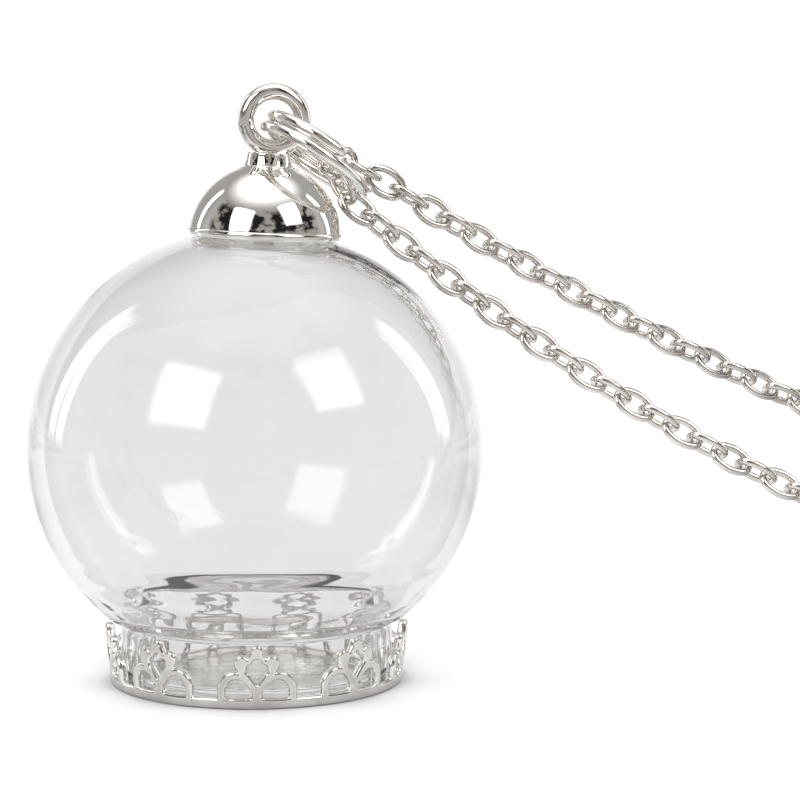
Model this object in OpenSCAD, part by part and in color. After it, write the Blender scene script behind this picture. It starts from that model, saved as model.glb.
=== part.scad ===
// Glass ball pendant on a cable chain necklace.
// The hollow glass ball stands on a pierced crown tray, with a domed cap, an eye and a split ring on top.
// Origin: centre of the crown tray's underside. +Z is up and +X is the side that the chain runs to.

/* [Glass ball] */
// Outer diameter of the glass ball at its middle
globe_d = 30; // [28:0.5:32]
// How much lower than round each half of the ball is
globe_flat = 0.4; // [0.3:0.05:0.5]
// Thickness of the glass
globe_wall = 1.0; // [0.8:0.1:1.2]
// Height of the ball's centre above the surface
globe_z = 15.4; // [15.2:0.1:15.6]
// Outer diameter of the open glass foot inside the crown
foot_d = 18; // [17.4:0.1:18.1]

/* [Crown tray] */
// Outer diameter of the tray at the surface
crown_base_d = 19.4; // [19.2:0.1:19.8]
// Outer diameter of the crown at its tips
crown_tip_d = 20.25; // [20.1:0.05:20.6]
// Height of the crown's tips
crown_h = 4.2; // [4.1:0.02:4.22]
// Thickness of the crown's wall
crown_wall = 0.6; // [0.5:0.05:0.6]
// Height of the closed band under the openwork
band_h = 0.72; // [0.7:0.02:0.8]
// Thickness of the tray's floor
floor_t = 0.6; // [0.5:0.05:0.65]
// Number of crown motifs
motif_n = 9; // [7:1:9]
// Angle by which the front motif is turned to the right
crown_turn = 3; // [0:0.5:6]

/* [Cap] */
// Diameter of the cap's beaded rim
cap_d = 10.2; // [10:0.1:10.3]
// Thickness of the dome's shell
cap_wall = 0.5; // [0.4:0.05:0.6]
// Angle by which the cap sits off the top of the ball
cap_lean = 2.8; // [0:0.2:4]
// Outer diameter of the eye on the stem
eye_d = 4.8; // [4.6:0.1:5]
// Thickness of the eye's wire
eye_wire = 1.1; // [1:0.05:1.2]

/* [Split ring] */
// Outer diameter of the split ring
split_d = 8.5; // [8.2:0.1:8.8]
// Thickness of its wire
split_wire = 0.8; // [0.75:0.05:0.85]
// Angle at which the ring hangs down to the right
split_dip = 33.6; // [31:0.2:36]
// Angle at which its far side hangs lower than its near side
split_tilt = 11.6; // [11:0.2:13]

/* [Chain] */
// Outer length of one oval link
link_l = 3.14; // [3.1:0.02:3.18]
// Outer width of one oval link
link_w = 2.1; // [2.06:0.02:2.14]
// Thickness of the link's wire
link_wire = 0.5; // [0.46:0.01:0.51]
// Length of chain that each link adds
link_pitch = 1.9; // [1.88:0.01:1.92]
// Number of links on each side of the bail
side_links = 114; // [110:2:116]
// Length of the clasp between the last links
clasp_l = 11; // [10:0.5:14]
// Thickness of the clasp's barrel
clasp_d = 2.2; // [1.8:0.1:2.4]

/* [Hidden] */
$fn = 48;
gap = 0.12;

// Glass ball: its round flank, and the flatter crest that touches the flank and closes the ball
globe_r = globe_d / 2;
flank_in = 0.7;
function crest_of(r) = (pow(flank_in, 2) + pow(r - globe_flat, 2) - pow(r - flank_in, 2))
  / (2 * (flank_in - globe_flat));
crest_r = crest_of(globe_r);
crest_z = crest_r - globe_r + globe_flat;

// Glass ball: the shoulder under the ball and the straight foot, from the ball's centre
foot_r = foot_d / 2;
foot_wall = 0.9;
foot_bottom = floor_t + gap - globe_z;
shoulder_out = 4.5 - globe_z;
shoulder_in = 5.4 - globe_z;
shoulder_drop = 0.3;
far = 2 * globe_d;

// Crown: radii of its outer face, and the motif's own measures, x from its middle and y from the surface
base_r = crown_base_d / 2;
tip_r = crown_tip_d / 2;
arch_x = 1.46;
arch_y = 1.36;
arch_r = 1.1;
arch_hole_x = 1.3;
arch_hole_y = 1.18;
arch_hole_r = 0.74;
lobe_x = 0.98;
lobe_y = 3.03;
lobe_r = 0.5;
top_r = 0.42;
stem_half = 0.33;
leaf_half = 0.7;
cut_half = tip_r * sin(180 / motif_n) + 0.35;
cut_depth = 3.2;
cut_back = 1.8;
crown_over = 0.2;
band_lap = 0.3;

// Cap: heights along its own axis, from the centre of the ball's crest
cap_r = cap_d / 2;
rim_r = 0.3;
dome_r = cap_r - 0.05;
dome_z = 14.45;
dome_cut = 0.25;
dome_top = dome_z + dome_r;
stem_base_r = 1.8;
stem_waist_r = 1.4;
stem_bow_r = 1.9;
stem_h = 1.1;
stem_z = dome_top - 0.45;
eye_r = (eye_d - eye_wire) / 2;
eye_x = 0.25;
eye_z = 22.26;
eye_turn = 8;

// Split ring: its centre, and the two turns with the wire's crossing between their ends
split_r = (split_d - split_wire) / 2;
split_pos = [4.17, 0, 34.7];
split_turns_gap = 0.02;
split_half = (split_wire + split_turns_gap) / 2;
cross_mid = 10;
cross_half = 30;
end_clear = 8;
tip_clear = 48;
split_sides = 12;
split_step = 6;

// Link: half the distance between the centres of its round ends, and their radius
link_half = (link_l - link_w) / 2;
link_r = (link_w - link_wire) / 2;

// Lengths of a strand that a link seen face on and the link across it take
face_edge = 1.05;
joint_l = link_pitch - face_edge;
side_edge = face_edge + 2 * joint_l;
pair_l = face_edge + side_edge;

// Chain route: the link that turns round the ring, then the far and the near strand
turn_pos = [5.45, 1.71, 34.1];
turn_head = 31.8;
turn_rise = 18.4;
turn_roll = 77;
lie_clear = 0.01;
lie_z = link_r * sin(45) + link_wire / 2 + lie_clear;
// Strand: its heading and how flat it falls, then its first link's heading, slope and roll
far_strand = [14.7, 184.7, 24.3, -26.1, 7];
near_strand = [4.3, 102.3, 1.3, -61.6, -38];
chain_slack = 0.25;

// Roll of the links about their strand: the hanging ones, and those that lie
face_roll = -27;
lie_roll = -45;
roll_links = 4;

// Clasp: its loops' radius, and their roll, which lies them across the last links
clasp_loop_r = 0.9;
clasp_roll = 35;

function aim(head, slope) = [cos(slope) * cos(head), cos(slope) * sin(head), sin(slope)];
function plan(head) = [cos(head), sin(head), 0];
function cross2(a, b) = a[0] * b[1] - a[1] * b[0];

turn_dir = aim(turn_head, turn_rise);
far_start = turn_pos + face_edge / 2 * turn_dir;
near_start = turn_pos - face_edge / 2 * turn_dir;
far_top = far_start + side_edge * aim(far_strand[2], far_strand[3]);
near_top = near_start + side_edge * aim(near_strand[2], near_strand[3]);

// Fall of a strand: a catenary that meets the surface level. Length and reach from its top to there
function fall_l(flat, drop) = sqrt(pow(flat + drop, 2) - flat * flat);
function fall_reach(flat, s) = flat * ln(s / flat + sqrt(pow(s / flat, 2) + 1));
far_fall = fall_l(far_strand[1], far_top[2] - lie_z);
near_fall = fall_l(near_strand[1], near_top[2] - lie_z);
far_land = far_top + fall_reach(far_strand[1], far_fall) * plan(far_strand[0]);
near_land = near_top + fall_reach(near_strand[1], near_fall) * plan(near_strand[0]);

// Lying stretch: both strands run straight on, tangent to one round bend that joins them
spread = far_strand[0] - near_strand[0];
far_dir = plan(far_strand[0]);
near_dir = plan(near_strand[0]);
meet = far_land + cross2(near_land - far_land, near_dir) / cross2(far_dir, near_dir) * far_dir;
far_out = norm([far_land[0] - meet[0], far_land[1] - meet[1]]);
near_out = norm([near_land[0] - meet[0], near_land[1] - meet[1]]);
side_l = (side_links / 2 - 1) * pair_l + face_edge;
bend_arc = (180 + spread) * PI / 180;
lying_l = 2 * side_l + clasp_l + chain_slack - far_fall - near_fall + far_out + near_out;
bend_out = lying_l / (2 + tan(spread / 2) * bend_arc);
bend_r = bend_out * tan(spread / 2);

// Point at length s from the top of a strand. turn is -1 for the far strand and 1 for the near one
function fall_point(top, head, flat, fall, s) =
  let (left = fall - s)
  [top[0], top[1], 0]
  + (fall_reach(flat, fall) - fall_reach(flat, left)) * plan(head)
  + [0, 0, lie_z + sqrt(flat * flat + left * left) - flat];
function bend_point(head, turn, s) =
  let (now = head + turn * (s / bend_r) * 180 / PI)
  [meet[0], meet[1], lie_z] + bend_out * plan(head)
  + bend_r * (plan(head + 90 * turn) - plan(now + 90 * turn));
function strand_point(top, land, out, strand, fall, turn, s) =
  s < fall ? fall_point(top, strand[0], strand[1], fall, s)
  : s < fall + bend_out - out ? [land[0], land[1], lie_z] + (s - fall) * plan(strand[0])
  : bend_point(strand[0], turn, s - fall - bend_out + out);
function far_point(s) = strand_point(far_top, far_land, far_out, far_strand, far_fall, -1, s);
function near_point(s) = strand_point(near_top, near_land, near_out, near_strand, near_fall, 1, s);

// Where link i of a strand begins and ends along it: even links face the side, odd ones lie across
function link_from(i) = floor(i / 2) * pair_l + (i % 2) * face_edge;
function link_to(i) = link_from(i) + (i % 2 == 0 ? face_edge : side_edge);
function hang_roll(s, fall) = face_roll + (lie_roll - face_roll) * s / fall;
function roll_at(i, s, fall, first) = s > fall ? lie_roll
  : first + (hang_roll(s, fall) - first) * min((i + 1) / roll_links, 1);

// Places a piece along the line from a to b, turned by roll about it
module along(a, b, roll) {
  v = b - a;
  translate((a + b) / 2)
    rotate([roll, -atan2(v[2], norm([v[0], v[1]])), atan2(v[1], v[0])])
      children();
}

module link() {
  for (end = [0, 180]) rotate(end) {
    translate([link_half, 0, 0])
      rotate(-90) rotate_extrude(angle = 180, $fn = 20)
        translate([link_r, 0]) circle(d = link_wire, $fn = 14);
    translate([-link_half, link_r, 0])
      rotate([0, 90, 0]) cylinder(d = link_wire, h = 2 * link_half, $fn = 14);
  }
}

module ball_round(r) {
  flank = r - flank_in;
  crest = crest_of(r);
  touch = crest * flank_in / (crest - flank);
  intersection() {
    translate([flank_in, 0]) circle(r = flank, $fn = 96);
    translate([touch, -far / 2]) square(far);
  }
  intersection() {
    translate([0, -crest_z]) circle(r = crest, $fn = 96);
    translate([0, crest_z]) circle(r = crest, $fn = 96);
    translate([0, -far / 2]) square([touch, far]);
  }
}

module ball_profile(r, cut, neck_r, bottom) {
  cut_r = sqrt(pow(crest_of(r), 2) - pow(crest_z - cut, 2));
  intersection() {
    ball_round(r);
    translate([0, cut]) square(far);
  }
  polygon([[0, bottom], [neck_r, bottom], [neck_r, cut - shoulder_drop], [cut_r, cut], [0, cut]]);
}

module glass_globe() {
  color("lightcyan", 0.4) translate([0, 0, globe_z])
    rotate_extrude($fn = 96) difference() {
      ball_profile(globe_r, shoulder_out, foot_r, foot_bottom);
      ball_profile(globe_r - globe_wall, shoulder_in, foot_r - foot_wall, foot_bottom - 1);
    }
}

module leaf_hole() {
  translate([0, 2.94]) circle(r = 0.33, $fn = 24);
  for (side = [-1, 1]) translate([side * 0.38, 2.62]) circle(r = 0.33, $fn = 24);
  polygon([[-leaf_half, 2.54], [0, 1.6], [leaf_half, 2.54], [0, 2.8]]);
}

module arch_hole() {
  translate([arch_hole_x, arch_hole_y]) circle(r = arch_hole_r, $fn = 24);
  polygon([[0.45, band_h], [2.04, band_h], [2.04, arch_hole_y], [arch_hole_x, 1.8], [0.86, 1.72],
    [stem_half, 1.08], [stem_half, 0.92]]);
}

module motif_outline() {
  for (side = [-1, 1]) {
    translate([side * arch_x, arch_y]) circle(r = arch_r, $fn = 32);
    translate([side * arch_x - arch_r, band_h - band_lap]) square([2 * arch_r, arch_y - band_h + band_lap]);
    translate([side * lobe_x, lobe_y]) circle(r = lobe_r, $fn = 24);
  }
  for (side = [0, 1]) mirror([side, 0]) polygon([[-0.05, band_h - band_lap], [0.45, band_h - band_lap],
    [0.45, 1], [1.24, 2.35], [1.46, 2.9], [0.98, 3.3], [0.6, 3.3], [0.58, 3.42], [top_r, crown_h - top_r],
    [-0.05, crown_h - top_r]]);
  translate([0, crown_h - top_r]) circle(r = top_r, $fn = 24);
}

// Everything that is cut away round one motif and inside it
module openwork() {
  difference() {
    translate([-cut_half, band_h]) square([2 * cut_half, crown_h]);
    motif_outline();
  }
  leaf_hole();
  for (side = [0, 1]) mirror([side, 0]) arch_hole();
}

module crown_shell() {
  flare = (tip_r - base_r) / crown_h;
  top = crown_h + crown_over;
  difference() {
    cylinder(r1 = base_r, r2 = base_r + flare * top, h = top, $fn = 96);
    translate([0, 0, -1])
      cylinder(r1 = base_r - crown_wall - flare, r2 = base_r - crown_wall + flare * (top + 1),
        h = top + 2, $fn = 96);
  }
}

module crown_base() {
  color("silver") {
    cylinder(r = base_r - crown_wall / 2, h = floor_t, $fn = 96);
    difference() {
      crown_shell();
      for (i = [0 : motif_n - 1]) rotate(crown_turn + i * 360 / motif_n)
        translate([0, cut_back - base_r, 0]) rotate([90, 0, 0]) linear_extrude(cut_depth) openwork();
    }
  }
}

module dome_cap() {
  color("silver") translate([0, 0, globe_z - crest_z]) rotate([0, cap_lean, 0]) {
    difference() {
      translate([0, 0, dome_z]) sphere(r = dome_r, $fn = 64);
      translate([0, 0, dome_z]) sphere(r = dome_r - cap_wall, $fn = 64);
      sphere(r = crest_r + gap, $fn = 96);
      translate([0, 0, -far / 2 + dome_z + dome_cut]) cube(far, center = true);
    }
    translate([0, 0, sqrt(pow(crest_r + gap + rim_r, 2) - pow(cap_r - rim_r, 2))])
      rotate_extrude($fn = 64) translate([cap_r - rim_r, 0]) circle(r = rim_r, $fn = 20);
    translate([0, 0, stem_z]) rotate_extrude($fn = 40) difference() {
      square([stem_base_r, stem_h]);
      translate([stem_waist_r + stem_bow_r, stem_h]) circle(r = stem_bow_r, $fn = 64);
    }
    translate([eye_x, 0, eye_z]) rotate([90, 0, eye_turn])
      rotate_extrude($fn = 48) translate([eye_r, 0]) circle(d = eye_wire, $fn = 24);
  }
}

// Height of the split ring's wire at an angle: the lower turn, the crossing, then the upper turn
function cross_part(a) = min(max((a - cross_mid - 360 + cross_half) / (2 * cross_half), 0), 1);
function split_height(a) = split_half * (2 * pow(cross_part(a), 2) * (3 - 2 * cross_part(a)) - 1);
function split_section(a) = [for (j = [0 : split_sides - 1])
  let (b = j * 360 / split_sides, r = split_r + split_wire / 2 * cos(b))
  [r * cos(a), r * sin(a), split_height(a) + split_wire / 2 * sin(b)]];

module split_ring() {
  from = cross_mid + cross_half + end_clear;
  to = cross_mid + 720 - cross_half - tip_clear;
  n = round((to - from) / split_step);
  points = [for (i = [0 : n]) each split_section(from + i * (to - from) / n)];
  sides = [for (i = [0 : n - 1], j = [0 : split_sides - 1])
    let (k = (j + 1) % split_sides)
    [i * split_sides + j, i * split_sides + k, (i + 1) * split_sides + k, (i + 1) * split_sides + j]];
  first = [for (j = [split_sides - 1 : -1 : 0]) j];
  last = [for (j = [0 : split_sides - 1]) n * split_sides + j];
  color("gainsboro") translate(split_pos) rotate([-split_tilt, split_dip, 0])
    polyhedron(points, concat(sides, [first], [last]));
}

module chain() {
  color("silver") {
    along(near_start, far_start, turn_roll) link();
    along(far_start, far_top, far_strand[4]) link();
    along(near_start, near_top, near_strand[4]) link();
    for (i = [0 : side_links - 2]) {
      face = i % 2 == 0 ? 90 : 0;
      s = link_from(i);
      far_roll = face + roll_at(i, s, far_fall, far_strand[4]);
      near_roll = face + roll_at(i, s, near_fall, near_strand[4]);
      along(far_point(s), far_point(link_to(i)), far_roll) link();
      along(near_point(s), near_point(link_to(i)), near_roll) link();
    }
  }
}

// Barrel clasp: a round barrel on the surface, with a loop at each end across the last link
module clasp() {
  a = far_point(side_l);
  b = near_point(side_l);
  loop_x = norm(b - a) / 2 - joint_l;
  barrel_l = 2 * (loop_x - clasp_loop_r);
  lift = [0, 0, clasp_d / 2 - lie_z + lie_clear];
  color("silver") {
    for (end = [-1, 1]) along(a, b, end * clasp_roll) translate([end * loop_x, 0, 0])
      rotate_extrude($fn = 24) translate([clasp_loop_r, 0]) circle(d = link_wire, $fn = 14);
    along(a + lift, b + lift, 0)
      rotate([0, 90, 0]) cylinder(d = clasp_d, h = barrel_l, center = true, $fn = 32);
  }
}

glass_globe();
crown_base();
dome_cap();
split_ring();
chain();
clasp();
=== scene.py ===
import math

import bpy
import numpy as np
from mathutils import Matrix, Vector


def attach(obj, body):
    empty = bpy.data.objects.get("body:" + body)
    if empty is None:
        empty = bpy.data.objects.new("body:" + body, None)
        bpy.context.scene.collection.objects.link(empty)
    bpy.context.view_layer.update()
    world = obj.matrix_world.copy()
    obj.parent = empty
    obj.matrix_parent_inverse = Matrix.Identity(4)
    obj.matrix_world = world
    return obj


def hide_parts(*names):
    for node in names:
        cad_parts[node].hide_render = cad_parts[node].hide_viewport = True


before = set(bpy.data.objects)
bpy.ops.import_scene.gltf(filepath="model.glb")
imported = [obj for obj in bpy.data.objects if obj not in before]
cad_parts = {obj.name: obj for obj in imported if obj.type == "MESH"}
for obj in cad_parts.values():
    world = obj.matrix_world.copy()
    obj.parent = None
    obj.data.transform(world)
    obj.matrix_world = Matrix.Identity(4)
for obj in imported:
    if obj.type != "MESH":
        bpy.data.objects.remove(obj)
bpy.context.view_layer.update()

# Every measure below is in millimetres and degrees, from the CAD part. Meshes are made in metres.
MM = 0.001

GLOBE_R, GLOBE_WALL, GLOBE_FLAT, GLOBE_Z = 15.0, 1.0, 0.4, 15.4
FLANK_IN = 0.7
CREST_R = ((FLANK_IN ** 2 + (GLOBE_R - GLOBE_FLAT) ** 2 - (GLOBE_R - FLANK_IN) ** 2)
           / (2 * (FLANK_IN - GLOBE_FLAT)))
CREST_Z = CREST_R - GLOBE_R + GLOBE_FLAT
GLOBE_TOP = GLOBE_Z + GLOBE_R - GLOBE_FLAT
SHOULDER_OUT, SHOULDER_IN = 4.5, 5.4
FOOT_R, FOOT_WALL, FOOT_BOTTOM = 9.0, 0.9, 0.72
CAP_LEAN = 2.8
CAP_R, RIM_R, DOME_Z, DOME_CUT = 5.1, 0.3, 14.45, 0.25
DOME_R, DOME_WALL = CAP_R - 0.05, 0.5
STEM_BASE_R, STEM_WAIST_R, STEM_BOW_R, STEM_H = 1.8, 1.4, 1.9, 1.1
EYE_R, EYE_WIRE, EYE_X, EYE_Z, EYE_TURN = 1.85, 1.1, 0.25, 22.26, 8.0
CROWN_BASE_R, CROWN_TIP_R, CROWN_H, CROWN_WALL, BAND_H = 9.7, 10.125, 4.2, 0.6, 0.72
CROWN_TURN, MOTIFS, FLOOR_T, TOP_R, STRAP_ROUND = 3.0, 9, 0.6, 0.42, 0.2
BEAD_GAP = 0.12


def mesh_object(name, verts, faces, smooth=True):
    """A mesh object from points in millimetres."""
    mesh = bpy.data.meshes.new(name)
    mesh.from_pydata([tuple(v) for v in np.asarray(verts) * MM], [], [tuple(f) for f in faces])
    mesh.validate()
    mesh.update()
    if smooth:
        mesh.shade_smooth()
    obj = bpy.data.objects.new(name, mesh)
    bpy.context.scene.collection.objects.link(obj)
    return obj


def rotation(axis, degrees):
    return np.array(Matrix.Rotation(math.radians(degrees), 3, axis))


def arc(centre, radius, start, end, count):
    """Points on an arc in the plane of a profile."""
    a = np.radians(np.linspace(start, end, count))
    return np.c_[centre[0] + radius * np.cos(a), centre[1] + radius * np.sin(a)]


def fillet(before, corner, after, radius, count=7):
    """Points that round a profile's corner off."""
    before, corner, after = map(np.asarray, (before, corner, after))
    u = (before - corner) / np.linalg.norm(before - corner)
    v = (after - corner) / np.linalg.norm(after - corner)
    half = math.acos(np.clip(u @ v, -1, 1)) / 2
    reach = radius / math.tan(half)
    centre = corner + (u + v) / np.linalg.norm(u + v) * radius / math.sin(half)
    first, last = corner + u * reach - centre, corner + v * reach - centre
    turn = math.atan2(first[0] * last[1] - first[1] * last[0], first @ last)
    start = math.atan2(first[1], first[0])
    a = start + np.linspace(0, turn, count)
    return np.c_[centre[0] + radius * np.cos(a), centre[1] + radius * np.sin(a)]


def revolve(profile, steps, closed=True):
    """Points and faces of a profile turned round Z. A point on the axis is one vertex."""
    profile = np.asarray(profile, float)
    n = len(profile)
    on_axis = profile[:, 0] < 1e-6
    angles = np.arange(steps) * 2 * math.pi / steps
    index = np.zeros((n, steps), int)
    verts = []
    for i, (r, z) in enumerate(profile):
        if on_axis[i]:
            index[i] = len(verts)
            verts.append((0, 0, z))
        else:
            index[i] = len(verts) + np.arange(steps)
            verts += list(np.c_[r * np.cos(angles), r * np.sin(angles), np.full(steps, z)])
    faces = []
    for i in range(n if closed else n - 1):
        k = (i + 1) % n
        if on_axis[i] and on_axis[k]:
            continue
        for j in range(steps):
            m = (j + 1) % steps
            ring = [index[i, j], index[i, m], index[k, m], index[k, j]]
            faces.append([v for at, v in enumerate(ring) if v != ring[at - 1]])
    return np.array(verts), faces


def sweep(path, radius, sides, closed):
    """Points and faces of a round wire along a path. radius is one number, or one for each point."""
    path = np.asarray(path, float)
    n = len(path)
    radius = np.broadcast_to(radius, n)
    if closed:
        tangent = np.roll(path, -1, 0) - np.roll(path, 1, 0)
    else:
        tangent = np.gradient(path, axis=0)
    tangent /= np.linalg.norm(tangent, axis=1)[:, None]
    side = np.cross(tangent, (0, 0, 1))
    side /= np.linalg.norm(side, axis=1)[:, None]
    up = np.cross(side, tangent)
    b = np.arange(sides) * 2 * math.pi / sides
    verts = (path[:, None] + radius[:, None, None]
             * (np.cos(b)[None, :, None] * side[:, None] + np.sin(b)[None, :, None] * up[:, None]))
    faces = []
    for i in range(n if closed else n - 1):
        k = (i + 1) % n
        for j in range(sides):
            m = (j + 1) % sides
            faces.append([i * sides + j, i * sides + m, k * sides + m, k * sides + j])
    if not closed:
        faces.append(list(range(sides))[::-1])
        faces.append([(n - 1) * sides + j for j in range(sides)])
    return verts.reshape(-1, 3), faces


def joined(parts):
    """One mesh from several lists of points and faces."""
    verts, faces, at = [], [], 0
    for v, f in parts:
        verts.append(v)
        faces += [[i + at for i in face] for face in f]
        at += len(v)
    return np.concatenate(verts), faces


def finish_piece(obj, slot, material, *nodes):
    """Puts a piece in the part: its body, its finish and the CAD nodes that it stands for."""
    obj.data.materials.clear()
    obj.data.materials.append(material)
    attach(obj, "root")
    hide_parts(*nodes)


class Shade:
    """A short way to write a node tree."""

    def __init__(self, tree):
        self.tree = tree
        tree.nodes.clear()

    def node(self, kind, **values):
        n = self.tree.nodes.new(kind)
        for key, value in values.items():
            if hasattr(n, key) and key not in n.inputs:
                setattr(n, key, value)
            else:
                self.feed(n.inputs[key], value)
        return n

    def feed(self, socket, value):
        if isinstance(value, bpy.types.NodeSocket):
            self.tree.links.new(value, socket)
        elif value is not None:
            socket.default_value = value

    def math(self, operation, *values, clamp=False):
        n = self.tree.nodes.new("ShaderNodeMath")
        n.operation, n.use_clamp = operation, clamp
        for socket, value in zip(n.inputs, values):
            self.feed(socket, value)
        return n.outputs[0]

    def mix(self, share, a, b):
        n = self.tree.nodes.new("ShaderNodeMix")
        n.data_type = "RGBA"
        for name, value in (("Factor", share), ("A", a), ("B", b)):
            socket = [s for s in n.inputs if s.name == name and s.enabled][0]
            self.feed(socket, value)
        return [s for s in n.outputs if s.enabled][0]

    def ramp(self, value, low, high, to_low=0.0, to_high=1.0):
        n = self.node("ShaderNodeMapRange")
        n.interpolation_type = "SMOOTHSTEP"
        for socket, v in zip(n.inputs, (value, low, high, to_low, to_high)):
            self.feed(socket, v)
        return n.outputs[0]

    def noise(self, scale, detail=2.0, place=None, stretch=None):
        place = place or self.node("ShaderNodeTexCoord").outputs["Object"]
        if stretch:
            n = self.node("ShaderNodeMapping")
            n.inputs["Scale"].default_value = stretch
            self.feed(n.inputs["Vector"], place)
            place = n.outputs[0]
        n = self.node("ShaderNodeTexNoise", Scale=scale, Detail=detail)
        self.feed(n.inputs["Vector"], place)
        return n.outputs["Fac"]

    def bump(self, height, strength, distance, normal=None):
        n = self.node("ShaderNodeBump", Strength=strength, Distance=distance, Height=height)
        if normal:
            self.feed(n.inputs["Normal"], normal)
        return n.outputs[0]


def new_material(name):
    mat = bpy.data.materials.new(name)
    mat.use_nodes = True
    return mat, Shade(mat.node_tree)


def silver(name, colour, shadow_colour, rough, grain, grain_depth, scratches=0.0, edges=False):
    """Silver plating: slight tarnish in patches, uneven polish, fine grain, and on request edges that are
    smoother from wear and lighter in colour as a painted highlight.
    """
    mat, s = new_material(name)
    patch = s.ramp(s.noise(420.0, 3.0), 0.35, 0.7)
    tint = s.mix(patch, colour, shadow_colour)
    polish = s.ramp(s.noise(900.0, 4.0), 0.3, 0.75, rough * 0.75, rough * 1.35)
    if edges:
        wear_and_painted_highlight = s.node("ShaderNodeAttribute", attribute_name="wear_and_painted_highlight").outputs["Fac"]
        # Painted highlight and wear: rounded edges get a lighter colour as a painted highlight, and less
        # roughness from wear.
        tint = s.mix(wear_and_painted_highlight, tint, (0.86, 0.845, 0.82, 1))
        polish = s.math("MULTIPLY", polish, s.ramp(wear_and_painted_highlight, 0.0, 1.0, 1.0, 0.4))
    grains = s.noise(grain, 3.0)
    normal = s.bump(grains, 1.0, grain_depth)
    if scratches:
        marks = s.noise(1500.0, 5.0, stretch=(0.15, 1.0, 3.5))
        normal = s.bump(marks, 1.0, scratches, normal)
    p = s.node("ShaderNodeBsdfPrincipled", Metallic=1.0)
    s.feed(p.inputs["Base Color"], tint)
    s.feed(p.inputs["Roughness"], polish)
    s.feed(p.inputs["Normal"], normal)
    s.node("ShaderNodeOutputMaterial", Surface=p.outputs[0])
    return mat


def glass_material():
    """Clear blown glass: a faint grey body with painted shade that makes it darker where it is seen at a
    flat angle, and soft streaks.
    """
    mat, s = new_material("blown_clear_glass")
    rings = s.noise(120.0, 1.0, stretch=(0.15, 0.15, 1.4))
    normal = s.bump(rings, 1.0, 0.000006)
    # Painted shade: the body colour darkens towards the ball's outline, by the angle it is seen at.
    outline_shade_facing = s.node("ShaderNodeLayerWeight", Blend=0.35).outputs["Facing"]
    body = s.mix(s.ramp(outline_shade_facing, 0.42, 0.85), (0.83, 0.833, 0.832, 1), (0.40, 0.41, 0.41, 1))
    p = s.node("ShaderNodeBsdfPrincipled", Roughness=0.0, IOR=1.5)
    p.inputs["Transmission Weight"].default_value = 1.0
    s.feed(p.inputs["Base Color"], body)
    s.feed(p.inputs["Normal"], normal)
    see = s.node("ShaderNodeBsdfTransparent", Color=(0.985, 0.985, 0.985, 1))
    path = s.node("ShaderNodeLightPath")
    matt = s.math("MINIMUM", path.outputs["Diffuse Depth"], 1.0)
    n = s.node("ShaderNodeMixShader", Fac=s.math("MAXIMUM", path.outputs["Is Shadow Ray"], matt))
    s.feed(n.inputs[1], p.outputs[0])
    s.feed(n.inputs[2], see.outputs[0])
    s.node("ShaderNodeOutputMaterial", Surface=n.outputs[0])
    return mat


glass = glass_material()
crown_metal = silver("cast_silver", (0.62, 0.60, 0.57, 1), (0.49, 0.47, 0.445, 1),
                     0.16, 2600.0, 0.000012, edges=True)
floor_metal = silver("tray_floor_silver", (0.82, 0.80, 0.77, 1), (0.62, 0.59, 0.55, 1),
                     0.2, 1300.0, 0.00006)
cap_metal = silver("polished_silver", (0.86, 0.84, 0.81, 1), (0.80, 0.775, 0.74, 1),
                   0.035, 1800.0, 0.0000012, 0.0000008)
ring_metal = silver("ring_silver", (0.89, 0.87, 0.84, 1), (0.80, 0.775, 0.74, 1),
                    0.09, 2200.0, 0.000003, 0.000002)
chain_metal = silver("chain_silver", (0.73, 0.70, 0.665, 1), (0.60, 0.57, 0.535, 1),
                     0.10, 2400.0, 0.0000015, 0.000001)


def ball_side(deeper, cut_z):
    """The ball's outline from its shoulder to its top, the shoulder's corner and a point just above it."""
    crest, flank = CREST_R - deeper, GLOBE_R - FLANK_IN - deeper
    touch = math.degrees(math.atan2(CREST_Z, FLANK_IN))
    low = -math.degrees(math.asin((GLOBE_Z + CREST_Z - cut_z) / crest))
    below, above = (0, GLOBE_Z + CREST_Z), (0, GLOBE_Z - CREST_Z)
    corner, beyond = arc(below, crest, low, low + 3.5, 2)
    side = np.concatenate([
        arc(below, crest, low + 3.7, -touch, 5),
        arc((FLANK_IN, GLOBE_Z), flank, -touch, touch, 84)[1:],
        arc(above, crest, touch, 90, 44)[1:-1],
        [(0, GLOBE_TOP - deeper)]])
    return side, corner, beyond


def globe_profile():
    """The wall's outline from the foot up the outside to the top and down the inside."""
    out_side, out_cut, out_next = ball_side(0, SHOULDER_OUT)
    in_side, in_cut, in_next = ball_side(GLOBE_WALL, SHOULDER_IN)
    inner_r = FOOT_R - FOOT_WALL
    mid, rim = (FOOT_R + inner_r) / 2, FOOT_WALL / 2
    neck_out, neck_in = (FOOT_R, SHOULDER_OUT - 0.3), (inner_r, SHOULDER_IN - 0.3)
    outside = [
        arc((mid, FOOT_BOTTOM + rim), rim, 270, 360, 8),
        fillet((FOOT_R, 2), neck_out, out_cut, 0.35, 8),
        fillet(neck_out, out_cut, out_next, 0.7, 12),
        out_side,
    ]
    inside = [
        in_side[::-1],
        fillet(in_next, in_cut, neck_in, 0.9, 12),
        fillet(in_cut, neck_in, (inner_r, 3), 0.7, 12),
        arc((mid, FOOT_BOTTOM + rim), rim, 180, 270, 8)[:-1],
    ]
    return np.concatenate(outside + inside)


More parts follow.
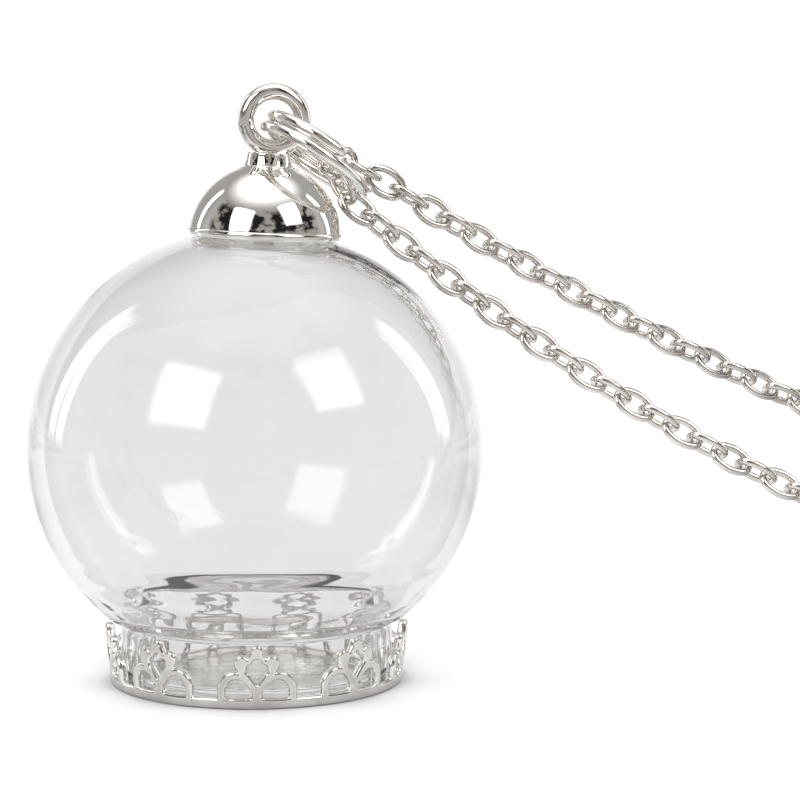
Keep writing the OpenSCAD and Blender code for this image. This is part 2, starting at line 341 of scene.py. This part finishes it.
def blown(points, first_inner):
    """Moves the glass as blowing leaves it: the inside wavy by a few hundredths, the outside hardly."""
    p = points.copy()
    d = p - (0, 0, GLOBE_Z)
    r = np.linalg.norm(d, axis=1)
    az, el = np.arctan2(d[:, 1], d[:, 0]), np.arcsin(np.clip(d[:, 2] / r, -1, 1))
    wave = (np.sin(3 * az + 1.1 + 2 * el) * 0.5 + np.sin(5 * az - 3 * el + 0.4) * 0.3
            + np.sin(9 * el + 2 * az) * 0.25 + np.sin(2 * az + 7 * el + 2.0) * 0.35)
    fade = np.clip((p[:, 2] - 4.6) / 3, 0, 1) * np.clip((GLOBE_TOP - 0.4 - p[:, 2]) / 2, 0, 1)
    inner = np.arange(len(p)) >= first_inner
    amount = np.where(inner, 0.06, 0.008) * fade * wave
    rings = np.where(inner, 0.02, 0.0) * np.sin((p[:, 2] - 5) * 4.5)
    rings = rings * np.clip((11 - p[:, 2]) / 5, 0, 1) * fade
    low = np.clip((p[:, 2] - 4.8) / 0.8, 0, 1) * np.clip((9.5 - p[:, 2]) / 3, 0, 1)
    drops = (np.sin(13 * az + 17 * el) * np.sin(11 * az - 23 * el + 1.0)
             + 0.7 * np.sin(21 * az - 19 * el + 2.0) * np.sin(8 * az + 31 * el))
    ripple = np.where(inner, 0.018, 0.0) * low * drops
    return p + d / r[:, None] * (amount + rings + ripple)[:, None]


verts, faces = revolve(globe_profile(), 192)
first_inner = int(np.argmax(np.abs(verts[:, 2] - (GLOBE_TOP - GLOBE_WALL)) < 1e-6))
globe = mesh_object("blown_globe", blown(verts, first_inner), faces)
finish_piece(globe, "clear_glass", glass, "glass_globe")


def circle_gap(x, y, cx, cy, r):
    return np.hypot(x - cx, y - cy) - r


def polygon_gap(x, y, corners):
    """Signed distance to a polygon, negative inside."""
    corners = np.asarray(corners, float)
    best = np.full(x.shape, 1e9)
    inside = np.zeros(x.shape, bool)
    for (ax, ay), (bx, by) in zip(corners, np.roll(corners, -1, 0)):
        ex, ey = bx - ax, by - ay
        t = np.clip(((x - ax) * ex + (y - ay) * ey) / (ex * ex + ey * ey), 0, 1)
        best = np.minimum(best, np.hypot(x - ax - t * ex, y - ay - t * ey))
        cross = (ay > y) != (by > y)
        with np.errstate(divide="ignore", invalid="ignore"):
            inside ^= cross & (x < (bx - ax) * (y - ay) / (by - ay) + ax)
    return np.where(inside, -best, best)


def soft_min(a, b, k):
    h = np.clip(0.5 + 0.5 * (b - a) / k, 0, 1)
    return b * (1 - h) + a * h - k * h * (1 - h)


def soft_max(a, b, k):
    return -soft_min(-a, -b, k)


def crown_gap(x, z):
    """Signed distance to one motif with its stretch of band, negative in the metal."""
    m = np.abs(x)
    arch = soft_min(circle_gap(m, z, 1.46, 1.36, 1.1),
                    polygon_gap(m, z, [(0.36, 0.3), (2.56, 0.3), (2.56, 1.36), (0.36, 1.36)]), 0.04)
    side_lobe = circle_gap(m, z, 0.98, 3.03, 0.5)
    top = circle_gap(m, z, 0.0, CROWN_H - TOP_R, TOP_R)
    body = polygon_gap(m, z, [(-1, CROWN_H - TOP_R), (TOP_R, CROWN_H - TOP_R), (0.58, 3.42), (0.6, 3.3),
                              (0.98, 3.3), (1.46, 2.9), (1.24, 2.35), (0.45, 1.0), (0.45, 0.3), (-1, 0.3)])
    flower = soft_min(soft_min(body, top, 0.05), side_lobe, 0.05)
    metal = soft_min(flower, arch, 0.06)
    leaf = soft_min(circle_gap(m, z, 0.38, 2.62, 0.33),
                    polygon_gap(m, z, [(-0.6, 2.6), (0.7, 2.54), (0.0, 1.6), (-0.7, 2.54)]), 0.05)
    leaf = soft_min(leaf, circle_gap(m, z, 0.0, 2.94, 0.33), 0.06)
    arch_foot = polygon_gap(m, z, [(0.45, BAND_H), (2.04, BAND_H), (2.04, 1.18), (1.3, 1.8),
                                   (0.86, 1.72), (0.33, 1.08), (0.33, 0.92)])
    arch_hole = soft_min(circle_gap(m, z, 1.3, 1.18, 0.74), arch_foot, 0.05)
    metal = soft_max(soft_max(metal, -leaf, 0.06), -arch_hole, 0.06)
    band = z - BAND_H
    metal = soft_min(metal, band, 0.08)
    return np.maximum(metal, -z)


def crown_openwork(step=0.06):
    """The crown's pierced wall: squares cut along the motif's outline, in two skins with rounded edges."""
    cell_deg = 360 / MOTIFS
    columns = int(round(2 * math.pi * 10 / MOTIFS / step))
    rows = int(round((CROWN_H + 0.12) / step)) + 1
    angle = (np.arange(columns + 1) / columns - 0.5) * math.radians(cell_deg)
    height = np.linspace(0, CROWN_H + 0.12, rows + 1) - 0.03

    def place(a, z):
        r = CROWN_BASE_R + (CROWN_TIP_R - CROWN_BASE_R) * z / CROWN_H
        return r * np.sin(a), r

    A, Z = np.meshgrid(angle, height, indexing="ij")
    gap = crown_gap(place(A, Z)[0], Z)
    gap[np.abs(gap) < 1e-4] = 1e-4
    points, key = [], {}

    def vertex(k, a, z):
        if k not in key:
            key[k] = len(points)
            points.append((a, z))
        return key[k]

    cells, edges = [], []
    for i in range(columns):
        for j in range(rows):
            ring = [(i, j), (i + 1, j), (i + 1, j + 1), (i, j + 1)]
            value = [gap[c] for c in ring]
            if min(value) > 0:
                continue
            poly, cut = [], []
            for at in range(4):
                c, d = ring[at], ring[(at + 1) % 4]
                gc, gd = value[at], value[(at + 1) % 4]
                if gc < 0:
                    poly.append(vertex(c, A[c], Z[c]))
                if (gc < 0) != (gd < 0):
                    t = gc / (gc - gd)
                    v = vertex((min(c, d), max(c, d)), A[c] + t * (A[d] - A[c]), Z[c] + t * (Z[d] - Z[c]))
                    poly.append(v)
                    cut.append((v, gc < 0))
            if len(poly) > 2:
                cells.append(poly)
                if len(cut) == 2:
                    edges.append((cut[0][0], cut[1][0]) if cut[0][1] else (cut[1][0], cut[0][0]))
                elif len(cut) == 4:
                    edges.append((cut[0][0], cut[1][0]) if cut[0][1] else (cut[1][0], cut[2][0]))
                    edges.append((cut[2][0], cut[3][0]) if cut[0][1] else (cut[3][0], cut[0][0]))
    points = np.array(points)
    x, r = place(points[:, 0], points[:, 1])
    depth = np.clip(-crown_gap(x, points[:, 1]), 0, None)
    edge = 1 - np.clip(depth / STRAP_ROUND, 0, 1)
    lift = CROWN_WALL / 2 * (0.25 + 0.75 * np.sqrt(1 - edge ** 2))
    n = len(points)
    parts, wear_and_painted_highlight = [], []
    for motif in range(MOTIFS):
        turn = math.radians(motif * cell_deg + CROWN_TURN - 90)
        for sign in (1, -1):
            rr = r - CROWN_WALL / 2 + sign * lift
            a = points[:, 0] + turn
            parts.append(np.c_[rr * np.cos(a), rr * np.sin(a), np.clip(points[:, 1], 0, None)])
            wear_and_painted_highlight.append(edge)
    faces = []
    for motif in range(MOTIFS):
        front, back = motif * 2 * n, motif * 2 * n + n
        faces += [[front + v for v in poly] for poly in cells]
        faces += [[back + v for v in poly[::-1]] for poly in cells]
        faces += [[front + a, back + a, back + b, front + b] for a, b in edges]
    return np.concatenate(parts), faces, np.concatenate(wear_and_painted_highlight)


verts, faces, wear_and_painted_highlight = crown_openwork()
crown = mesh_object("crown_openwork", verts, faces)
# How near each point is to a rounded edge, for wear and the painted highlight there.
layer = crown.data.attributes.new("wear_and_painted_highlight", "FLOAT", "POINT")
layer.data.foreach_set("value", wear_and_painted_highlight.astype(np.float32))
weld = crown.modifiers.new("join_motifs", "WELD")
weld.merge_threshold = 0.004 * MM
finish_piece(crown, "crown_silver", crown_metal, "crown_base")


def tray_floor():
    """The tray's floor: a disc with a softly hammered top that ends inside the wall."""
    radius = CROWN_BASE_R - CROWN_WALL / 2
    top = [(r, FLOOR_T) for r in np.linspace(radius - 0.1, 0, 60)]
    profile = [(0, 0), (radius - 0.15, 0), (radius, 0.1), (radius, FLOOR_T - 0.1)] + top
    v, f = revolve(profile, 144)
    x, y = v[:, 0], v[:, 1]
    r = np.hypot(x, y)
    on_top = v[:, 2] > FLOOR_T - 0.01
    dents = (np.sin(2.9 * x + 1.3 * np.sin(1.7 * y)) * np.sin(2.6 * y + 1.1 * np.sin(2.1 * x + 0.5))
             + 0.6 * np.sin(5.3 * x - 3.9 * y + 1.0) * np.sin(4.1 * x + 5.0 * y))
    v[:, 2] += np.where(on_top, 0.022 * (dents - 1.2) * np.clip((radius - r) / 0.8, 0, 1), 0)
    return v, f


floor_disc = mesh_object("tray_floor", *tray_floor())
finish_piece(floor_disc, "crown_silver", floor_metal, "crown_base")


def on_cap(verts):
    """From the cap's own axes to the part's."""
    return np.asarray(verts) @ rotation("Y", CAP_LEAN).T + (0, 0, GLOBE_Z - CREST_Z)


def cap_shell():
    """Dome, waisted stem and the shell's inside, as one turned profile."""
    c = (0, DOME_Z)
    inner_r = DOME_R - DOME_WALL
    foot_out, foot_in = (math.degrees(math.asin(DOME_CUT / r)) for r in (DOME_R, inner_r))
    stem_foot = math.degrees(math.acos(STEM_BASE_R / DOME_R))
    top_z = DOME_Z + DOME_R - 0.45 + STEM_H
    waist = arc((STEM_WAIST_R + STEM_BOW_R, top_z), STEM_BOW_R, 208, 180, 14)
    last = arc(c, DOME_R, stem_foot - 4, stem_foot - 4, 1)[0]
    corner = (STEM_BASE_R + 0.06, DOME_Z + DOME_R * math.sin(math.radians(stem_foot)) + 0.01)
    outer = [
        arc(c, DOME_R, foot_out, stem_foot - 4, 70),
        fillet(last, corner, waist[0], 0.22, 6),
        waist[:-2],
        fillet(waist[-2], (STEM_WAIST_R, top_z), (0, top_z), 0.12, 5),
        [(0.6, top_z + 0.01), (0, top_z + 0.01)],
    ]
    inner = [[(0, DOME_Z + inner_r)], arc(c, inner_r, 90, foot_in, 50)[1:]]
    return revolve(np.concatenate(outer + inner), 160)


def ring_of(centre_r, wire_r, around, across, z=0.0):
    return revolve([(centre_r + wire_r * math.cos(b), z + wire_r * math.sin(b))
                    for b in np.arange(across) * 2 * math.pi / across], around)


rim_z = math.sqrt((CREST_R + BEAD_GAP + RIM_R) ** 2 - (CAP_R - RIM_R) ** 2)
shell_v, shell_f = cap_shell()
cap = mesh_object("cap_dome_and_stem", on_cap(shell_v), shell_f)
finish_piece(cap, "cap_silver", cap_metal, "dome_cap")

rim_v, rim_f = ring_of(CAP_R - RIM_R, RIM_R, 160, 20, rim_z)
rim = mesh_object("cap_bead_rim", on_cap(rim_v), rim_f)
finish_piece(rim, "cap_silver", cap_metal, "dome_cap")

eye_v, eye_f = ring_of(EYE_R, EYE_WIRE / 2, 96, 32)
eye_v = eye_v @ (rotation("Z", EYE_TURN) @ rotation("X", 90)).T + (EYE_X, 0, EYE_Z)
eye = mesh_object("cap_eye", on_cap(eye_v), eye_f)
finish_piece(eye, "cap_silver", cap_metal, "dome_cap")


SPLIT_R, SPLIT_WIRE, SPLIT_HALF = 3.85, 0.8, 0.41
SPLIT_POS, SPLIT_DIP, SPLIT_TILT = (4.17, 0, 34.7), 33.6, 11.6
CROSS_MID, CROSS_HALF, END_CLEAR, TIP_CLEAR = 10.0, 30.0, 8.0, 48.0


def split_ring():
    """Two turns of round wire, with the wire's one crossing between its two ends."""
    a = np.linspace(CROSS_MID + CROSS_HALF + END_CLEAR, CROSS_MID + 720 - CROSS_HALF - TIP_CLEAR, 300)
    t = np.clip((a - CROSS_MID - 360 + CROSS_HALF) / (2 * CROSS_HALF), 0, 1)
    z = SPLIT_HALF * (2 * t ** 2 * (3 - 2 * t) - 1)
    path = np.c_[SPLIT_R * np.cos(np.radians(a)), SPLIT_R * np.sin(np.radians(a)), z]
    radius = np.full(len(a), SPLIT_WIRE / 2)
    ease = np.array([0.55, 0.78, 0.91, 0.98])
    radius[:4] *= ease
    radius[-4:] *= ease[::-1]
    v, f = sweep(path, radius, 24, False)
    turn = rotation("Y", SPLIT_DIP) @ rotation("X", -SPLIT_TILT)
    return v @ turn.T + SPLIT_POS, f


bail = mesh_object("bail_split_ring", *split_ring())
finish_piece(bail, "ring_silver", ring_metal, "split_ring")


LINK_L, LINK_W, WIRE, PITCH, SIDE_LINKS = 3.14, 2.1, 0.5, 1.9, 114
CLASP_L, CLASP_D, CHAIN_SLACK = 11.0, 2.2, 0.25
CLASP_LOOP_R, CLASP_ROLL, LIE_CLEAR = 0.9, 35.0, 0.01
LINK_A, LINK_R = (LINK_L - WIRE) / 2, (LINK_W - WIRE) / 2
FACE_EDGE = 1.05
JOINT = PITCH - FACE_EDGE
SIDE_EDGE = FACE_EDGE + 2 * JOINT
PAIR = FACE_EDGE + SIDE_EDGE
TURN_POS, TURN_HEAD, TURN_RISE, TURN_ROLL = np.array([5.45, 1.71, 34.1]), 31.8, 18.4, 77.0
LIE_Z = LINK_R * math.sin(math.pi / 4) + WIRE / 2 + LIE_CLEAR
# Strand: its heading and how flat it falls, then its first link's heading, slope and roll
FAR, NEAR = (14.7, 184.7, 24.3, -26.1, 7.0), (4.3, 102.3, 1.3, -61.6, -38.0)
FACE_ROLL, LIE_ROLL, ROLL_LINKS = -27.0, -45.0, 4


def plan(heading):
    return np.array([math.cos(math.radians(heading)), math.sin(math.radians(heading)), 0])


def aim(heading, slope):
    return plan(heading) * math.cos(math.radians(slope)) + (0, 0, math.sin(math.radians(slope)))


def cross2(a, b):
    return a[0] * b[1] - a[1] * b[0]


def fall_reach(flat, s):
    return flat * math.asinh(s / flat)


class Strand:
    """One strand of the chain: its fall from the bail, its lying stretch and its half of the bend."""

    def __init__(self, start, strand, turn):
        self.heading, self.flat, first_heading, first_slope, self.first_roll = strand
        self.turn, self.start = turn, start
        self.top = start + SIDE_EDGE * aim(first_heading, first_slope)
        drop = self.top[2] - LIE_Z
        self.fall = math.sqrt((self.flat + drop) ** 2 - self.flat ** 2)
        self.land = self.top + fall_reach(self.flat, self.fall) * plan(self.heading)

    def point(self, s):
        if s < self.fall:
            left = self.fall - s
            gone = fall_reach(self.flat, self.fall) - fall_reach(self.flat, left)
            rise = LIE_Z + math.sqrt(self.flat ** 2 + left ** 2) - self.flat
            return np.array([self.top[0], self.top[1], 0]) + gone * plan(self.heading) + (0, 0, rise)
        if s < self.fall + bend_out - self.out:
            return np.array([self.land[0], self.land[1], LIE_Z]) + (s - self.fall) * plan(self.heading)
        s -= self.fall + bend_out - self.out
        now = self.heading + math.degrees(self.turn * s / bend_r)
        return (np.array([meet[0], meet[1], LIE_Z]) + bend_out * plan(self.heading)
                + bend_r * (plan(self.heading + 90 * self.turn) - plan(now + 90 * self.turn)))

    def roll(self, i, s):
        if s > self.fall:
            return LIE_ROLL
        hang = FACE_ROLL + (LIE_ROLL - FACE_ROLL) * s / self.fall
        return self.first_roll + (hang - self.first_roll) * min((i + 1) / ROLL_LINKS, 1)


turn_dir = aim(TURN_HEAD, TURN_RISE)
far = Strand(TURN_POS + FACE_EDGE / 2 * turn_dir, FAR, -1)
near = Strand(TURN_POS - FACE_EDGE / 2 * turn_dir, NEAR, 1)
spread = math.radians(far.heading - near.heading)
far_dir, near_dir = plan(far.heading), plan(near.heading)
meet = far.land + cross2(near.land - far.land, near_dir) / cross2(far_dir, near_dir) * far_dir
for one in (far, near):
    one.out = float(np.hypot(*(one.land - meet)[:2]))
side_l = (SIDE_LINKS / 2 - 1) * PAIR + FACE_EDGE
lying = 2 * side_l + CLASP_L + CHAIN_SLACK - far.fall - near.fall + far.out + near.out
bend_out = lying / (2 + math.tan(spread / 2) * (math.pi + spread))
bend_r = bend_out * math.tan(spread / 2)


def along(a, b, roll):
    """The turn and the middle of a piece that lies from a to b."""
    v = b - a
    heading = math.degrees(math.atan2(v[1], v[0]))
    pitch = -math.degrees(math.atan2(v[2], math.hypot(v[0], v[1])))
    return rotation("Z", heading) @ rotation("Y", pitch) @ rotation("X", roll), (a + b) / 2


def link_shape():
    """One oval link of round wire, bent to four arcs, with a faint swelling where it was soldered."""
    end_r = 0.66
    end_x = LINK_A - end_r
    side_r = (end_x ** 2 + LINK_R ** 2 - end_r ** 2) / (2 * (LINK_R - end_r))
    turn = math.degrees(math.atan2(side_r - LINK_R, end_x))
    right = arc((end_x, 0), end_r, -turn, turn, 11)
    top = arc((0, LINK_R - side_r), side_r, turn, 180 - turn, 7)[1:-1]
    path = np.concatenate([right, top, -right, -top])
    radius = np.full(len(path), WIRE / 2)
    radius[13] *= 1.05
    return sweep(np.c_[path, np.zeros(len(path))], radius, 12, True)


def cable_chain():
    link_v, link_f = link_shape()
    places = [along(near.start, far.start, TURN_ROLL)]
    places += [along(one.start, one.top, one.first_roll) for one in (far, near)]
    for i in range(SIDE_LINKS - 1):
        begin = i // 2 * PAIR + i % 2 * FACE_EDGE
        end = begin + (FACE_EDGE if i % 2 == 0 else SIDE_EDGE)
        face = 90 if i % 2 == 0 else 0
        for one in (far, near):
            places.append(along(one.point(begin), one.point(end), face + one.roll(i, begin)))
    return joined([(link_v @ turn.T + middle, link_f) for turn, middle in places])


chain = mesh_object("cable_chain", *cable_chain())
finish_piece(chain, "chain_silver", chain_metal, "chain")


def barrel_clasp():
    """A plain barrel with rounded ends and a fine seam round its middle, and a loop at each end."""
    a, b = far.point(side_l), near.point(side_l)
    loop_x = np.linalg.norm(b - a) / 2 - JOINT
    half, r, soft = loop_x - CLASP_LOOP_R, CLASP_D / 2, 0.3
    profile = np.concatenate([
        [(0, -half)], fillet((0, -half), (r, -half), (r, 0), soft, 8),
        [(r, -0.14), (r - 0.08, -0.05), (r - 0.08, 0.05), (r, 0.14)],
        fillet((r, 0), (r, half), (0, half), soft, 8), [(0, half)]])
    body_v, body_f = revolve(profile, 64, closed=False)
    turn, middle = along(a, b, 0)
    lift = (0, 0, r - LIE_Z + LIE_CLEAR)
    parts = [(body_v @ rotation("Y", 90).T @ turn.T + middle + lift, body_f)]
    for end in (-1, 1):
        turn, middle = along(a, b, end * CLASP_ROLL)
        v, f = ring_of(CLASP_LOOP_R, WIRE / 2, 40, 14)
        parts.append(((v + (end * loop_x, 0, 0)) @ turn.T + middle, f))
    return joined(parts)


clasp = mesh_object("barrel_clasp", *barrel_clasp())
finish_piece(clasp, "clasp_silver", ring_metal, "clasp")


STAGE_HALF, MATT_WHITE, LAMP_DISTANCE = 3000, 1.29, 0.5


def pale_floor():
    """A pale matt floor. Polished metal sees it as a white sheet of limited width; beyond that, beside the
    ball, glossy rays find a dark mottled painted reflection of a dim room.
    """
    mat, s = new_material("pale_floor")
    soft = s.ramp(s.noise(6.0, 2.0), 0.3, 0.7)
    p = s.node("ShaderNodeBsdfPrincipled", Roughness=1.0)
    p.inputs["Specular IOR Level"].default_value = 0.0
    pale = s.mix(soft, (0.895, 0.895, 0.895, 1), (0.905, 0.905, 0.905, 1))
    place = s.node("ShaderNodeTexCoord").outputs["Object"]
    x, y, _ = s.node("ShaderNodeSeparateXYZ", Vector=place).outputs
    across = s.math("ABSOLUTE", s.math("ARCTAN2", x, y))
    away = s.node("ShaderNodeVectorMath", operation="LENGTH")
    s.feed(away.inputs[0], place)
    # Painted reflection: beside the ball, glossy rays that have not passed the glass see the floor dark and
    # mottled, standing in for a dim room.
    painted_reflection_mask = s.math("MULTIPLY", s.ramp(across, math.radians(20), math.radians(45)),
                    s.ramp(away.outputs["Value"], 0.022, 0.06))
    path = s.node("ShaderNodeLightPath").outputs
    gloss = s.math("SUBTRACT", path["Is Glossy Ray"], path["Transmission Depth"], clamp=True)
    painted_dark_reflection = s.mix(s.ramp(s.noise(9.0, 2.0), 0.42, 0.58),
                    (0.20, 0.19, 0.18, 1), (0.62, 0.61, 0.60, 1))
    s.feed(p.inputs["Base Color"], s.mix(s.math("MULTIPLY", painted_reflection_mask, gloss), pale, painted_dark_reflection))
    s.node("ShaderNodeOutputMaterial", Surface=p.outputs[0])
    corners = [(x * STAGE_HALF, y * STAGE_HALF, 0) for x, y in ((-1, -1), (1, -1), (1, 1), (-1, 1))]
    floor = mesh_object("floor", corners, [(0, 1, 2, 3)], smooth=False)
    floor.data.materials.append(mat)


def softbox(name, azimuth, elevation, width, height, radiance):
    """A lamp with soft edges, turned to the ball. It shows in the metal and the glass alone."""
    a, e = math.radians(azimuth), math.radians(elevation)
    target = Vector((0, 0, GLOBE_Z * MM))
    back = Vector((math.sin(a) * math.cos(e), -math.cos(a) * math.cos(e), math.sin(e)))
    lamp = bpy.data.lights.new(name, "AREA")
    lamp.shape, lamp.size, lamp.size_y = "RECTANGLE", width, height
    lamp.energy = radiance * math.pi * width * height
    lamp.use_nodes = True
    s = Shade(lamp.node_tree)
    place = s.node("ShaderNodeNewGeometry").outputs["Parametric"]
    u, v, _ = s.node("ShaderNodeSeparateXYZ", Vector=place).outputs
    edge = [s.ramp(s.math("ABSOLUTE", s.math("SUBTRACT", t, 0.5)), 0.38, 0.5, 1.0, 0.12)
            for t in (u, v)]
    glow = s.node("ShaderNodeEmission", Strength=s.math("MULTIPLY", *edge))
    s.node("ShaderNodeOutputLight", Surface=glow.outputs[0])
    obj = bpy.data.objects.new(name, lamp)
    obj.location = target + back * LAMP_DISTANCE
    obj.rotation_euler = back.to_track_quat("Z", "Y").to_euler()
    obj.visible_camera = False
    obj.visible_diffuse = False
    bpy.context.scene.collection.objects.link(obj)


def studio_world():
    """A studio: white behind, grey sides, a grey ceiling with a round lamp, and a dim room in front."""
    world = bpy.data.worlds.new("studio")
    world.use_nodes = True
    world.cycles.sampling_method = "NONE"
    s = Shade(world.node_tree)
    place = s.node("ShaderNodeTexCoord").outputs["Generated"]
    split = s.node("ShaderNodeSeparateXYZ", Vector=place)
    x, y, z = split.outputs
    azimuth = s.math("ABSOLUTE", s.math("ARCTAN2", x, s.math("MULTIPLY", y, -1.0)))
    height = s.math("ARCSINE", z)
    rad = math.radians
    clutter = s.ramp(s.noise(3.4, 4.0, place, (1.0, 1.0, 1.6)), 0.44, 0.58)
    dim = s.mix(clutter, (0.018, 0.016, 0.018, 1), (0.42, 0.395, 0.37, 1))
    walls = s.ramp(s.noise(7.0, 2.0, place, (1.0, 1.0, 0.3)), 0.40, 0.56)
    walls = s.math("MULTIPLY", walls, s.ramp(height, rad(11), rad(15), 1.0, 0.0))
    dim = s.mix(walls, dim, (0.42, 0.38, 0.34, 1))
    dim = s.mix(s.ramp(height, rad(2), rad(6)), (0.50, 0.48, 0.46, 1), dim)
    side = s.mix(s.ramp(height, rad(10), rad(60)), (0.56, 0.55, 0.54, 1), (0.46, 0.45, 0.44, 1))
    room = s.mix(s.ramp(azimuth, rad(84), rad(100)), dim, side)
    back = s.mix(s.ramp(y, 0.80, 0.965), (0.42, 0.415, 0.41, 1), (1.15, 1.15, 1.15, 1))
    room = s.mix(s.ramp(azimuth, rad(98), rad(112)), room, back)
    ceiling = s.mix(s.ramp(height, rad(46), rad(74)), (0.42, 0.41, 0.40, 1), (1.9, 1.88, 1.86, 1))
    seen = s.mix(s.ramp(height, rad(38), rad(50)), room, ceiling)
    path = s.node("ShaderNodeLightPath").outputs
    plain = s.math("MAXIMUM", path["Is Camera Ray"], path["Is Transmission Ray"])
    beyond = s.mix(s.ramp(height, rad(10), rad(60)), (1.1, 1.1, 1.1, 1), (0.75, 0.745, 0.74, 1))
    seen = s.mix(plain, seen, beyond)
    matt = s.math("MINIMUM", path["Diffuse Depth"], 1.0)
    glow = s.node("ShaderNodeBackground", Strength=1.0)
    s.feed(glow.inputs["Color"], s.mix(matt, seen, (MATT_WHITE, MATT_WHITE, MATT_WHITE, 1)))
    s.node("ShaderNodeOutputWorld", Surface=glow.outputs[0])
    bpy.context.scene.world = world


pale_floor()
studio_world()
softbox("softbox_left", -38, 32, 0.30, 0.30, 4.0)
softbox("softbox_right", 50, 39, 0.25, 0.28, 4.0)
softbox("strip_left", -119, 22, 0.07, 0.45, 3.5)
softbox("strip_right", 113, 22, 0.07, 0.45, 3.5)

CAMERA_AT = Vector((9.53, -180.0, 39.5)) * MM
LOOK_AT = Vector((9.53, 0.0, 18.6)) * MM
camera = bpy.data.cameras.new("camera")
camera.lens, camera.sensor_width = 123.7, 36.0
camera.clip_start, camera.clip_end = 0.01, 20.0
eye_point = bpy.data.objects.new("camera", camera)
eye_point.location = CAMERA_AT
eye_point.rotation_euler = (LOOK_AT - CAMERA_AT).to_track_quat("-Z", "Y").to_euler()
bpy.context.scene.collection.objects.link(eye_point)
bpy.context.scene.camera = eye_point
bpy.context.scene.view_settings.view_transform = "Standard"
# The ball's two skins and the pierced crown behind them take many bounces
cycles = bpy.context.scene.cycles
cycles.caustics_refractive = cycles.caustics_reflective = False
cycles.max_bounces = cycles.transmission_bounces = 32
cycles.glossy_bounces = 16
